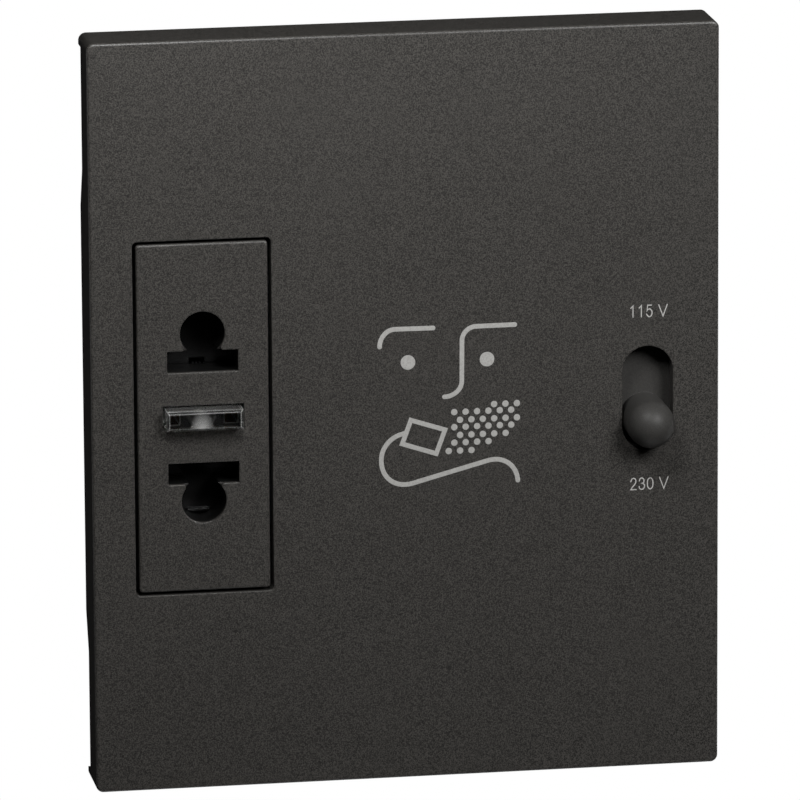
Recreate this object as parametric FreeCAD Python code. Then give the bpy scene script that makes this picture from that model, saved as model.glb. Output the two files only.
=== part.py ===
import FreeCAD, Part
import math
import os

# A shaver socket for a three-module wall frame, with its own isolating transformer.
# Millimetres. +X is to the right, +Y goes into the wall and +Z is up.
# The origin is the middle of the seat: the rear face of the front housing's flange,
# which stands against the wall frame.

V = FreeCAD.Vector

# How far shapes of one piece run into each other, and how far a cut runs past a surface
join = 0.1
past = 1.0

# Front cover
cover_width = 67.3
cover_height = 81.0
cover_depth = 6.5
cover_plate = 1.8
skirt_wall = 1.2
skirt_to_seat = 0.3
cover_corner_radius = 0.8
cover_edge_radius = 0.3
skirt_notch_depth = 1.7
skirt_notch_ramp = 4.2
skirt_middle_length = 44.0
snap_width = 10.0
snap_height = 0.5
snap_spacing = 36.0
snap_gap = 0.2

# Socket face, the flush panel with the pin holes
face_width = 14.0
face_height = 37.6
face_gap = 0.38
face_plate = 1.6
face_wall = 1.0
face_corner_radius = 0.35
face_edge_radius = 0.2
pin_hole_radius = 2.4
pin_spacing = 18.1
blade_slot_width = 7.57
blade_slot_height = 2.34
blade_spacing = 12.12
pin_hole_depth = 4.2
pin_hole_wall = 0.8
pin_hole_lip = 0.5
neck_radius = 0.3
clip_width = 3.2
clip_thickness = 1.1
clip_offset = 4.2
clip_hook = 0.6
clip_gap = 0.05
clip_slot_gap = 0.2

# Clear key between the pin holes, pushed in by the body of a plug
key_width = 8.1
key_height = 2.1
key_stand = 1.7
key_gap = 0.3
key_edge = 0.24
key_flange_rim = 0.55
key_flange_thickness = 0.8
key_flange_gap = 0.15
key_leg_spacing = 6.2
key_leg_width = 1.4
key_leg_height = 1.8
key_travel = 1.7
bridge_thickness = 0.4
bridge_height = 4.2
bridge_overhang = 0.1
bridge_hole_gap = 0.15
contact_gap = 0.05
post_diameter = 1.2
post_height = 1.85

# Pilot lamp behind the key, and the key's spring around it
lamp_diameter = 2.0
lamp_length = 3.5
lamp_seat_y = 3.0
spacer_diameter = 2.6
spacer_collar_diameter = 3.0
spacer_collar_length = 0.8
lead_size = 0.4
lead_pitch = 1.2
key_spring_diameter = 2.75
key_spring_wire = 0.3
key_spring_turns = 5
spring_end_gap = 0.05

# Shutters behind the pin holes
shutter_thickness = 0.8
shutter_axle_diameter = 1.2
shutter_barrel_diameter = 1.6
shutter_side_gap = 0.3
shutter_axle_reach = 0.5
shutter_axis_z = 4.05
shutter_axis_back = 0.8
shutter_to_tube = 0.4
shutter_overlap = 0.45
shutter_end_gap = 0.7
axle_gap = 0.08
shutter_rib_height = 0.35
shutter_rib_width = 2.4
shutter_rib_thickness = 0.3
shutter_rib_offset = 1.85
shutter_spring_wire = 0.25
shutter_spring_turns = 3
shutter_spring_pitch = 0.375

# Selector, the round-ended knob that slides between two voltages
selector_to_edge = 7.7
knob_diameter = 5.1
knob_stand = 1.8
knob_travel = 4.9
slot_side_gap = 0.2
slot_end_gap = 0.68
shield_depth = 2.3
shield_thickness = 1.95
shield_left = 6.5
shield_right = 4.4
shield_margin = 1.2
shield_side_gap = 0.2
rail_width = 1.0
fork_offset = 4.35
fork_width = 2.4
fork_prong = 1.2
fork_length = 7.0
lever_size = 2.0
lever_gap = 0.1
lever_below_shield = 2.0
fork_slot_gap = 0.3
rail_end_gap = 0.3
rail_above_shield = 0.2

# Voltage switch on the board, moved by the selector's fork
can_width = 8.0
can_height = 14.0
can_depth = 5.8
can_sheet = 0.4
slider_height = 6.6
slider_width = 6.4
slider_thickness = 2.3
slider_gap = 0.1
can_slot_gap = 0.3
bridge_strip_length = 6.5
bridge_strip_width = 2.4
bridge_strip_thickness = 0.35
pad_pitch = 4.9
pad_length = 2.2
pad_width = 3.0
pad_thickness = 0.5
pad_stand = 0.1

# Front housing
flange_thickness = 2.4
flange_gap = 0.25
body_to_cover = 6.05
body_past_face = 5.4
body_wall = 1.6
front_floor = 1.8
body_corner_radius = 1.5
front_box_depth = 13.0
well_half_width = 4.25
well_wall = 1.2
channel_half = 2.5
channel_wall = 0.5
latch_width = 8.0
latch_height = 1.2
latch_length = 3.0
latch_spacing = 30.0
latch_gap = 0.1
wall_frame_thickness = 2.4
rib_width = 2.0
rib_height = 2.0
rib_spacing = 24.0
rear_rib_length = 4.0

# Socket contacts
contact_sheet = 0.35
contact_width = 5.5
contact_length = 4.8
round_pin_diameter = 4.0
blade_thickness = 1.5
contact_back_gap = 0.3

# Circuit board
board_thickness = 1.6
board_gap = 0.3
tail_width = 1.2
tail_thickness = 0.8
tail_gap = 0.1
tail_past_board = 0.8

# Transformer
core_stack = 14.0
core_legs = 6
window_to_wall = 12.35
winding_height = 6.5
winding_gap = 0.3
bobbin_wall = 0.8
bobbin_flange = 1.5
bobbin_fit = 0.1
coil_to_board = 0.9
coil_to_rear = 0.5
clamp_sheet = 0.6
clamp_lip = 2.0
clamp_gap = 0.1
coil_pin_share = 0.3
coil_pin_reach = 3.0
winding_inset = 0.5
winding_corner_radius = 3.0

# Thermal cut-out
cutout_diameter = 5.6
cutout_thickness = 2.4
cutout_offset = 9.8
cutout_to_coil = 2.15
cutout_lead_pitch = 4.0
cutout_stand = 0.5

# Rear housing, terminals and screws
rear_wall = 1.8
rear_edge_radius = 0.6
screw_boss = 5.4
screw_diameter = 2.2
screw_length = 20.0
screw_head_diameter = 4.4
screw_head_height = 1.5
screw_hole_gap = 0.2
screw_grip = 8.0
screw_sink = 0.2
screw_cross_length = 2.6
screw_cross_width = 0.6
screw_cross_depth = 0.8
boss_end = 1.0
core_post = 3.0
post_to_clamp = 0.2
terminal_inset = 4.7
terminal_pitch = 9.4
terminal_width = 7.2
terminal_height = 6.8
terminal_length = 7.8
terminal_mouth = 4.8
terminal_sheet = 0.9
terminal_thread_wall = 1.6
terminal_to_rear = 0.7
terminal_rib = 0.8
terminal_gap = 0.1
terminal_to_core = 0.8
wire_hole_diameter = 3.6
clamp_screw_diameter = 3.0
clamp_screw_head = 4.6
clamp_screw_head_height = 1.6
clamp_screw_access = 5.2
clamp_screw_reach = 0.4
clamp_head_gap = 0.2
clamp_thread_gap = 0.05
clamp_slot_depth = 0.7
clamp_slot_width = 0.6

# Places that follow from the sizes above
front_y = -(cover_depth + skirt_to_seat)
plate_back_y = front_y + cover_plate
skirt_back_y = -skirt_to_seat
flange_front_y = -flange_thickness
floor_back_y = flange_front_y + front_floor
flange_width = cover_width - 2 * (skirt_wall + flange_gap)
flange_height = cover_height - 2 * (skirt_wall + flange_gap)
face_back_y = front_y + face_plate
hole_back_y = front_y + pin_hole_depth
body_width = cover_width - 2 * body_to_cover
body_height = face_height + 2 * body_past_face
inner_x = body_width / 2 - body_wall
inner_z = body_height / 2 - body_wall
face_x = well_half_width - inner_x
selector_x = cover_width / 2 - selector_to_edge
terminal_x = inner_x - terminal_inset
terminal_right = terminal_x + terminal_mouth / 2 + terminal_thread_wall
terminal_left = terminal_right - terminal_width
terminal_cell_left = terminal_left - terminal_gap - terminal_rib
board_y = front_box_depth
board_back_y = board_y + board_thickness
tail_end_y = board_back_y + tail_past_board
coil_front_y = board_back_y + coil_to_board
core_front_y = coil_front_y + winding_height
core_back_y = core_front_y + core_stack
coil_back_y = core_back_y + winding_height
rear_inner_y = coil_back_y + coil_to_rear
rear_y = rear_inner_y + rear_wall
core_left = clamp_sheet + clamp_gap - inner_x
core_right = terminal_cell_left - terminal_to_core - clamp_sheet - clamp_gap
core_width = core_right - core_left
core_x = (core_left + core_right) / 2
core_leg = core_width / core_legs
core_window = 2 * (inner_z - window_to_wall)
core_height = core_window + 2 * core_leg
window_width = core_width / 2 - 2 * core_leg
coil_pin_spacing = coil_pin_share * core_width
cutout_x = core_x + cutout_offset
cutout_z = core_window / 2 + cutout_to_coil + cutout_thickness / 2
coil_half_x = core_leg + window_width - winding_gap
coil_half_y = core_stack / 2 + winding_height
core_mid_y = (core_front_y + core_back_y) / 2
well_left = face_x - well_half_width
well_right = face_x + well_half_width
shutter_front_y = hole_back_y + shutter_to_tube
shutter_axis_y = shutter_front_y + shutter_axis_back
hole_top_z = pin_spacing / 2 + pin_hole_radius
shutter_spring_length = shutter_spring_turns * shutter_spring_pitch
spring_room_half = (shutter_spring_length + shutter_spring_pitch) / 2 + axle_gap
well_top_z = hole_top_z + shutter_overlap + shutter_end_gap
boss_x = inner_x - screw_boss / 2 + join
boss_z = inner_z - screw_boss / 2 + join
key_flange_front_y = face_back_y + key_flange_gap
key_flange_back_y = key_flange_front_y + key_flange_thickness
post_front_y = board_y - post_height
bridge_back_y = post_front_y - contact_gap - key_travel
bridge_front_y = bridge_back_y - bridge_thickness
fork_x = selector_x - fork_offset
shield_front_y = front_y + shield_depth
shield_back_y = shield_front_y + shield_thickness
knob_z = -knob_travel / 2
slot_half_width = knob_diameter / 2 + slot_side_gap
slot_half_length = knob_travel / 2 + knob_diameter / 2 + slot_end_gap
shield_half = knob_travel / 2 + slot_half_length + shield_margin
can_front_y = board_y - can_depth
slider_front_y = can_front_y + can_sheet + slider_gap
slider_back_y = slider_front_y + slider_thickness
strip_back_y = slider_back_y + bridge_strip_thickness
pad_front_y = strip_back_y + contact_gap
terminal_back_y = rear_inner_y - terminal_to_rear
terminal_front_y = terminal_back_y - terminal_length
clamp_screw_y = (terminal_front_y + terminal_back_y) / 2


def box(x0, x1, y0, y1, z0, z1):
    return Part.makeBox(x1 - x0, y1 - y0, z1 - z0, V(x0, y0, z0))


def rod_x(x0, x1, y, z, radius):
    return Part.makeCylinder(radius, x1 - x0, V(x0, y, z), V(1, 0, 0))


def rod_y(x, z, y0, y1, radius):
    return Part.makeCylinder(radius, y1 - y0, V(x, y0, z), V(0, 1, 0))


def rounded_outline(x0, x1, z0, z1, radius, y):
    """A rectangle with round corners in the plane at y, as one wire."""
    r = radius
    turn = r * (1 - math.sqrt(0.5))
    corners = [
        (V(x1 - r, y, z0), V(x1 - turn, y, z0 + turn), V(x1, y, z0 + r)),
        (V(x1, y, z1 - r), V(x1 - turn, y, z1 - turn), V(x1 - r, y, z1)),
        (V(x0 + r, y, z1), V(x0 + turn, y, z1 - turn), V(x0, y, z1 - r)),
        (V(x0, y, z0 + r), V(x0 + turn, y, z0 + turn), V(x0 + r, y, z0)),
    ]
    edges = []
    for i, (start, middle, end) in enumerate(corners):
        edges.append(Part.Arc(start, middle, end).toShape())
        edges.append(Part.LineSegment(end, corners[(i + 1) % 4][0]).toShape())
    return Part.Wire(edges)


def rounded_block(x0, x1, z0, z1, y0, y1, radius):
    face = Part.Face(rounded_outline(x0, x1, z0, z1, radius, y0))
    return face.extrude(V(0, y1 - y0, 0))


def prism_x(points, x0, x1):
    """A straight prism along X from (y, z) points."""
    ring = [V(x0, y, z) for y, z in points]
    return Part.Face(Part.makePolygon(ring + ring[:1])).extrude(V(x1 - x0, 0, 0))


def coil(radius, wire, turns, start, direction, length):
    """A round-wire coil of the given mean radius along a direction."""
    helix = Part.makeHelix(length / turns, length, radius)
    section = Part.Wire(Part.makeCircle(wire / 2, V(radius, 0, 0), V(0, 1, 0)))
    solid = Part.Wire(helix).makePipeShell([section], True, True)
    turn = FreeCAD.Rotation(V(0, 0, 1), direction)
    solid.Placement = FreeCAD.Placement(start, turn)
    return solid


def edges_at_y(shape, y, inside):
    """Edges that lie in the plane at y, within a box of (x0, x1, z0, z1)."""
    found = []
    for edge in shape.Edges:
        b = edge.BoundBox
        flat = abs(b.YMin - y) < 1e-4 and abs(b.YMax - y) < 1e-4
        x_in = b.XMin > inside[0] - 1e-4 and b.XMax < inside[1] + 1e-4
        z_in = b.ZMin > inside[2] - 1e-4 and b.ZMax < inside[3] + 1e-4
        if flat and x_in and z_in:
            found.append(edge)
    return found


def mirrored(shape):
    """The same shape on the other side of the horizontal middle plane."""
    return shape.mirror(V(0, 0, 0), V(0, 0, 1))


def both_sides(shape):
    return [shape, mirrored(shape)]


def tail(x, z, y0, y1):
    """A solder tail of the common section."""
    half_x = tail_width / 2
    half_z = tail_thickness / 2
    return box(x - half_x, x + half_x, y0, y1, z - half_z, z + half_z)


def tail_hole(x, z):
    half_x = tail_width / 2 + tail_gap
    half_z = tail_thickness / 2 + tail_gap
    return box(x - half_x, x + half_x, board_y - past, board_back_y + past, z - half_z, z + half_z)


# Front cover


def side_notches(x0, x1):
    """The stretches above and below the middle where a side wall is shallower."""
    low = skirt_back_y - skirt_notch_depth
    start = skirt_middle_length / 2
    end = cover_height / 2 - skirt_wall
    points = [
        (skirt_back_y + past, start - skirt_notch_ramp / skirt_notch_depth),
        (low, start + skirt_notch_ramp),
        (low, end),
        (skirt_back_y + past, end),
    ]
    return both_sides(prism_x(points, x0, x1))


def selector_slot(y0, y1):
    straight = slot_half_length - slot_half_width
    slot = box(selector_x - slot_half_width, selector_x + slot_half_width, y0, y1, -straight, straight)
    for z in (-straight, straight):
        slot = slot.fuse(rod_y(selector_x, z, y0, y1, slot_half_width))
    return slot.removeSplitter()


def cover_snap(x):
    """A ridge inside the top wall that snaps into a groove in the flange's edge."""
    wall_z = cover_height / 2 - skirt_wall
    mid_y = flange_front_y / 2
    points = [
        (mid_y - 2 * snap_height, wall_z + join),
        (mid_y, wall_z - snap_height),
        (mid_y + snap_height, wall_z + join),
    ]
    return prism_x(points, x - snap_width / 2, x + snap_width / 2)


def front_cover():
    half_x = cover_width / 2
    half_z = cover_height / 2
    shell = rounded_block(-half_x, half_x, -half_z, half_z, front_y, skirt_back_y, cover_corner_radius)
    rim = edges_at_y(shell, front_y, (-half_x, half_x, -half_z, half_z))
    shell = shell.makeFillet(cover_edge_radius, rim)
    inner_half_x = half_x - skirt_wall
    inner_half_z = half_z - skirt_wall
    hollow_end = skirt_back_y + past
    shell = shell.cut(box(-inner_half_x, inner_half_x, plate_back_y, hollow_end, -inner_half_z, inner_half_z))
    for side in (-1, 1):
        x0, x1 = sorted((side * (inner_half_x - join), side * (half_x + past)))
        for notch in side_notches(x0, x1):
            shell = shell.cut(notch)
    opening_half_x = face_width / 2 + face_gap
    opening_half_z = face_height / 2 + face_gap
    opening = rounded_block(
        face_x - opening_half_x, face_x + opening_half_x, -opening_half_z, opening_half_z,
        front_y - past, plate_back_y + past, face_corner_radius + face_gap / 2,
    )
    shell = shell.cut([opening, selector_slot(front_y - past, plate_back_y + past)])
    for x in (-snap_spacing / 2, snap_spacing / 2):
        shell = shell.fuse(both_sides(cover_snap(x)))
    return shell.removeSplitter()


# Socket face


def keyhole(y0, y1, grow):
    """The upper pin hole: a round hole for a pin above a flat slot for a blade."""
    half = blade_slot_width / 2 + grow
    low = blade_spacing / 2 - blade_slot_height / 2 - grow
    high = blade_spacing / 2 + blade_slot_height / 2 + grow
    slot = box(face_x - half, face_x + half, y0, y1, low, high)
    return slot.fuse(rod_y(face_x, pin_spacing / 2, y0, y1, pin_hole_radius + grow)).removeSplitter()


def keyhole_lip():
    """The mouth of the keyhole, with its two inner corners rounded."""
    lip = keyhole(front_y - past, front_y + pin_hole_lip, 0)
    slot_top = blade_spacing / 2 + blade_slot_height / 2
    corners = []
    for edge in lip.Edges:
        b = edge.BoundBox
        along_y = b.XLength < 1e-4 and b.ZLength < 1e-4
        at_neck = abs(b.ZMin - slot_top) < 1e-4 and abs(b.XMin - face_x) < pin_hole_radius
        if along_y and at_neck:
            corners.append(edge)
    return lip.makeFillet(neck_radius, corners)


def face_clip():
    """A leg behind the panel whose hook holds behind the flange."""
    x0 = face_x + clip_offset - clip_width / 2
    x1 = x0 + clip_width
    z0 = face_height / 2 - face_wall - clip_thickness
    z1 = z0 + clip_thickness
    y0 = floor_back_y + clip_gap
    y1 = floor_back_y + 2 * clip_hook
    leg = box(x0, x1, face_back_y - join, y1, z0, z1)
    hook = prism_x([(y0, z1), (y0, z1 + clip_hook), (y1, z1)], x0, x1)
    return leg.fuse(hook)


def socket_face():
    half_x = face_width / 2
    half_z = face_height / 2
    shell = rounded_block(
        face_x - half_x, face_x + half_x, -half_z, half_z, front_y, flange_front_y, face_corner_radius
    )
    rim = edges_at_y(shell, front_y, (face_x - half_x, face_x + half_x, -half_z, half_z))
    shell = shell.makeFillet(face_edge_radius, rim)
    in_x = half_x - face_wall
    in_z = half_z - face_wall
    shell = shell.cut(box(face_x - in_x, face_x + in_x, face_back_y, flange_front_y + past, -in_z, in_z))
    tubes = both_sides(keyhole(face_back_y - join, hole_back_y, pin_hole_wall))
    shell = shell.fuse(tubes + both_sides(face_clip()))
    holes = both_sides(keyhole(front_y - past, hole_back_y + past, 0)) + both_sides(keyhole_lip())
    key_half_x = key_width / 2 + key_gap
    key_half_z = key_height / 2 + key_gap
    window = box(
        face_x - key_half_x, face_x + key_half_x, front_y - past, face_back_y + past,
        -key_half_z, key_half_z,
    )
    return shell.cut(holes + [window]).removeSplitter()


# Key, its switch, its lamp and its spring


def plug_key():
    half_x = key_width / 2
    half_z = key_height / 2
    tip_y = front_y - key_stand
    head = box(face_x - half_x, face_x + half_x, tip_y, key_flange_back_y, -half_z, half_z)
    tip_edges = edges_at_y(head, tip_y, (face_x - half_x, face_x + half_x, -half_z, half_z))
    head = head.makeChamfer(key_edge, tip_edges)
    rim_x = half_x + key_flange_rim
    rim_z = half_z + key_flange_rim
    flange = box(face_x - rim_x, face_x + rim_x, key_flange_front_y, key_flange_back_y, -rim_z, rim_z)
    legs = []
    for side in (-1, 1):
        x = face_x + side * key_leg_spacing / 2
        legs.append(box(
            x - key_leg_width / 2, x + key_leg_width / 2, key_flange_back_y - join, bridge_front_y,
            -key_leg_height / 2, key_leg_height / 2,
        ))
    return head.fuse([flange] + legs).removeSplitter()


def key_bridge():
    """The strip on the key's legs that closes the mains switch when a plug is in."""
    half_x = key_leg_spacing / 2 + key_leg_width / 2 + bridge_overhang
    half_z = bridge_height / 2
    strip = box(face_x - half_x, face_x + half_x, bridge_front_y, bridge_back_y, -half_z, half_z)
    hole_radius = spacer_collar_diameter / 2 + bridge_hole_gap
    return strip.cut(rod_y(face_x, 0, bridge_front_y - past, bridge_back_y + past, hole_radius))


def switch_post(side):
    x = face_x + side * key_leg_spacing / 2
    post = rod_y(x, 0, post_front_y, board_y, post_diameter / 2)
    return post.fuse(tail(x, 0, board_y - join, tail_end_y)).removeSplitter()


def pilot_lamp():
    body_end = lamp_seat_y - lamp_length + lamp_diameter / 2
    body = rod_y(face_x, 0, body_end, lamp_seat_y, lamp_diameter / 2)
    lens = Part.makeSphere(lamp_diameter / 2, V(face_x, body_end, 0))
    leads = []
    for side in (-1, 1):
        x = face_x + side * lead_pitch / 2
        half = lead_size / 2
        leads.append(box(x - half, x + half, lamp_seat_y - join, tail_end_y, -half, half))
    return body.fuse([lens] + leads).removeSplitter()


def lead_holes(y0, y1):
    holes = []
    half = lead_size / 2 + tail_gap
    for side in (-1, 1):
        x = face_x + side * lead_pitch / 2
        holes.append(box(x - half, x + half, y0, y1, -half, half))
    return holes


def lamp_spacer():
    tube = rod_y(face_x, 0, lamp_seat_y, board_y, spacer_diameter / 2)
    collar = rod_y(face_x, 0, lamp_seat_y, lamp_seat_y + spacer_collar_length, spacer_collar_diameter / 2)
    return tube.fuse(collar).cut(lead_holes(lamp_seat_y - past, board_y + past)).removeSplitter()


def key_spring():
    start_y = key_flange_back_y + key_spring_wire / 2 + spring_end_gap
    length = lamp_seat_y - key_spring_wire / 2 - spring_end_gap - start_y
    start = V(face_x, start_y, 0)
    return coil(key_spring_diameter / 2, key_spring_wire, key_spring_turns, start, V(0, 1, 0), length)


# Shutters


def upper_shutter():
    """A flap that closes the upper keyhole and swings back when a pin pushes it."""
    x0 = well_left + shutter_side_gap
    x1 = well_right - shutter_side_gap
    y0 = shutter_front_y
    y1 = y0 + shutter_thickness
    z1 = hole_top_z + shutter_overlap
    flap = box(x0, x1, y0, y1, shutter_axis_z, z1)
    barrel = rod_x(x0, x1, shutter_axis_y, shutter_axis_z, shutter_barrel_diameter / 2)
    web = box(x0, x1, y0, shutter_axis_y, shutter_axis_z, shutter_axis_z + shutter_barrel_diameter / 2)
    end = well_right + shutter_axle_reach
    axle = rod_x(2 * face_x - end, end, shutter_axis_y, shutter_axis_z, shutter_axle_diameter / 2)
    mid_x = (x0 + x1) / 2
    spring_room = rod_x(
        mid_x - spring_room_half, mid_x + spring_room_half, shutter_axis_y, shutter_axis_z,
        shutter_barrel_diameter,
    )
    flap = flap.fuse([barrel, web]).cut(spring_room).fuse(axle)
    rib_z = pin_spacing / 2 + shutter_rib_offset
    rib = box(
        mid_x - shutter_rib_width / 2, mid_x + shutter_rib_width / 2,
        y0 - shutter_rib_height, y0 + join, rib_z, rib_z + shutter_rib_thickness,
    )
    return flap.fuse(rib).removeSplitter()


def upper_shutter_spring():
    """A small torsion spring on the shutter's axle."""
    mid_x = (well_left + well_right) / 2
    radius = shutter_axle_diameter / 2 + shutter_spring_wire / 2 + axle_gap
    start = V(mid_x - shutter_spring_length / 2, shutter_axis_y, shutter_axis_z)
    return coil(radius, shutter_spring_wire, shutter_spring_turns, start, V(1, 0, 0), shutter_spring_length)


# Selector


def selector_knob():
    radius = knob_diameter / 2
    dome_y = front_y - knob_stand
    post = rod_y(selector_x, knob_z, dome_y, shield_front_y + join, radius)
    dome = Part.makeSphere(radius, V(selector_x, dome_y, knob_z))
    shield = box(
        selector_x - shield_left, selector_x + shield_right, shield_front_y, shield_back_y,
        knob_z - shield_half, knob_z + shield_half,
    )
    prongs = []
    for side in (-1, 1):
        near = knob_z + side * (lever_size / 2 + lever_gap)
        far = near + side * fork_prong
        z0, z1 = sorted((near, far))
        prongs.append(box(
            fork_x - fork_width / 2, fork_x + fork_width / 2,
            shield_back_y - join, shield_back_y + fork_length, z0, z1,
        ))
    return post.fuse([dome, shield] + prongs).removeSplitter()


def switch_slider():
    """The switch's inner slider, with the lever that stands in the knob's fork."""
    block = box(
        fork_x - slider_width / 2, fork_x + slider_width / 2, slider_front_y, slider_back_y,
        knob_z - slider_height / 2, knob_z + slider_height / 2,
    )
    half = lever_size / 2
    lever_y = shield_back_y + lever_below_shield
    lever = box(fork_x - half, fork_x + half, lever_y, slider_front_y + join, knob_z - half, knob_z + half)
    return block.fuse(lever).removeSplitter()


def switch_bridge():
    half_x = bridge_strip_width / 2
    half_z = bridge_strip_length / 2
    y0 = slider_back_y
    return box(fork_x - half_x, fork_x + half_x, y0, strip_back_y, knob_z - half_z, knob_z + half_z)


def switch_can():
    half_x = can_width / 2
    half_z = can_height / 2
    outer = box(fork_x - half_x, fork_x + half_x, can_front_y, board_y, -half_z, half_z)
    in_x = half_x - can_sheet
    in_z = half_z - can_sheet
    inner = box(fork_x - in_x, fork_x + in_x, can_front_y + can_sheet, board_y + past, -in_z, in_z)
    slot_x = lever_size / 2 + can_slot_gap
    slot_z = knob_travel / 2 + slot_x
    slot = box(fork_x - slot_x, fork_x + slot_x, can_front_y - past, can_front_y + past, -slot_z, slot_z)
    return outer.cut([inner, slot])


def switch_base():
    in_x = can_width / 2 - can_sheet
    in_z = can_height / 2 - can_sheet
    base = box(fork_x - in_x, fork_x + in_x, pad_front_y + pad_stand, board_y, -in_z, in_z)
    for step in (-1, 0, 1):
        base = base.cut(switch_contact(step))
    return base


def switch_contact(step):
    z = step * pad_pitch
    pad = box(
        fork_x - pad_width / 2, fork_x + pad_width / 2, pad_front_y, pad_front_y + pad_thickness,
        z - pad_length / 2, z + pad_length / 2,
    )
    return pad.fuse(tail(fork_x, z, pad_front_y + pad_thickness / 2, tail_end_y)).removeSplitter()


# Socket contacts


def upper_contact():
    """Three spring leaves on one strip: a round pin goes above the middle leaf, a blade below it."""
    y1 = board_y - contact_back_gap
    y0 = y1 - contact_length
    x0 = face_x - contact_width / 2
    x1 = face_x + contact_width / 2
    top = pin_spacing / 2 + round_pin_diameter / 2
    middle = pin_spacing / 2 - round_pin_diameter / 2 - contact_sheet
    low = middle - blade_thickness - contact_sheet
    leaves = [box(x0, x1, y0, y1, z, z + contact_sheet) for z in (low, middle, top)]
    back = box(x0, x1, y1 - contact_sheet, y1, low, top + contact_sheet)
    foot = tail(face_x, pin_spacing / 2, y1 - join, tail_end_y)
    return back.fuse(leaves + [foot]).removeSplitter()


# Front housing


def housing_box(y0, y1):
    half_x = body_width / 2
    half_z = body_height / 2
    outer = rounded_block(-half_x, half_x, -half_z, half_z, y0, y1, body_corner_radius)
    return outer.cut(box(-inner_x, inner_x, y0 - past, y1 + past, -inner_z, inner_z))


def corner_places():
    return [(sx * boss_x, sz * boss_z) for sx in (-1, 1) for sz in (-1, 1)]


def screw_bosses(y0, y1):
    half = screw_boss / 2
    return [box(x - half, x + half, y0, y1, z - half, z + half) for x, z in corner_places()]


def wall_ribs(y0, y1):
    """Short ribs on the top and bottom walls that hold the board between the housings."""
    ribs = []
    for x in (-rib_spacing / 2, rib_spacing / 2):
        rib = box(x - rib_width / 2, x + rib_width / 2, y0, y1, inner_z - rib_height, inner_z + join)
        ribs += both_sides(rib)
    return ribs


def wall_latch(x):
    """A ramp on the top wall that clips behind the wall frame."""
    z = body_height / 2
    start = wall_frame_thickness + latch_gap
    points = [(start, z - join), (start, z + latch_height), (start + latch_length, z - join)]
    return prism_x(points, x - latch_width / 2, x + latch_width / 2)


def well_block():
    return box(
        well_left - well_wall, well_right + well_wall, flange_front_y + join, board_y,
        -(well_top_z + well_wall), well_top_z + well_wall,
    )


def well_cells():
    """The three cells of the socket well: the upper and lower pins, and the key between them."""
    y0 = flange_front_y - past
    y1 = board_y + past
    upper = box(well_left, well_right, y0, y1, channel_half + channel_wall, well_top_z)
    channel = box(well_left, well_right, y0, y1, -channel_half, channel_half)
    return both_sides(upper) + [channel]


def shutter_bearings():
    radius = shutter_axle_diameter / 2 + axle_gap
    reach = shutter_axle_reach + axle_gap
    bore = rod_x(well_left - reach, well_right + reach, shutter_axis_y, shutter_axis_z, radius)
    return both_sides(bore)


def clip_slots():
    x0 = face_x + clip_offset - clip_width / 2 - clip_slot_gap
    x1 = x0 + clip_width + 2 * clip_slot_gap
    z0 = face_height / 2 - face_wall - clip_thickness - clip_slot_gap
    z1 = z0 + clip_thickness + 2 * clip_slot_gap
    return both_sides(box(x0, x1, flange_front_y - past, past, z0, z1))


def selector_rails():
    """A low frame on the flange that guides the selector's shield and stops its ends."""
    left = selector_x - shield_left - shield_side_gap
    right = selector_x + shield_right + shield_side_gap
    reach = shield_half + knob_travel / 2 + rail_end_gap
    y0 = shield_front_y - rail_above_shield
    end = reach + rail_width
    outer = box(left - rail_width, right + rail_width, y0, flange_front_y + join, -end, end)
    return outer.cut(box(left, right, y0 - past, flange_front_y + past, -reach, reach))


def fork_slot():
    half_x = fork_width / 2 + fork_slot_gap
    half_z = knob_travel / 2 + lever_size / 2 + lever_gap + fork_prong + fork_slot_gap
    return box(fork_x - half_x, fork_x + half_x, flange_front_y - past, past, -half_z, half_z)


def snap_grooves():
    """Grooves in the flange's top and bottom edges for the cover's ridges."""
    z = flange_height / 2
    mid_y = flange_front_y / 2
    y0 = mid_y - 2 * snap_height - snap_gap
    y1 = mid_y + snap_height + snap_gap
    deep = (mid_y, z - snap_height)
    points = [(y0, z + past), (y0, z + snap_gap), deep, (y1, z + snap_gap), (y1, z + past)]
    half = snap_width / 2 + snap_gap
    grooves = []
    for x in (-snap_spacing / 2, snap_spacing / 2):
        grooves += both_sides(prism_x(points, x - half, x + half))
    return grooves


def screw_passages():
    passages = []
    for x, z in corner_places():
        start = flange_front_y - past
        seat = flange_front_y + screw_head_height + screw_sink
        passages.append(rod_y(x, z, start, board_y + past, screw_diameter / 2 + screw_hole_gap))
        passages.append(rod_y(x, z, start, seat, screw_head_diameter / 2 + screw_hole_gap))
    return passages


def front_housing():
    half_x = flange_width / 2
    half_z = flange_height / 2
    flange = rounded_block(-half_x, half_x, -half_z, half_z, flange_front_y, 0, cover_corner_radius)
    flange = flange.cut(box(-inner_x, inner_x, floor_back_y, past, -inner_z, inner_z))
    y0 = floor_back_y - join
    solids = [housing_box(-join, board_y), well_block(), selector_rails()]
    solids += screw_bosses(y0, board_y) + wall_ribs(y0, board_y)
    for x in (-latch_spacing / 2, latch_spacing / 2):
        solids += both_sides(wall_latch(x))
    housing = flange.fuse(solids)
    cuts = well_cells() + shutter_bearings() + clip_slots() + [fork_slot()]
    cuts += snap_grooves() + screw_passages()
    return housing.cut(cuts).removeSplitter()


# Circuit board


def coil_pin_places():
    z = core_window / 2 - bobbin_flange / 2 - winding_gap / 2
    return [(core_x + sx * coil_pin_spacing / 2, sz * z) for sx in (-1, 1) for sz in (-1, 1)]


def cutout_lead_places():
    return [(cutout_x + side * cutout_lead_pitch / 2, cutout_z) for side in (-1, 1)]


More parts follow.
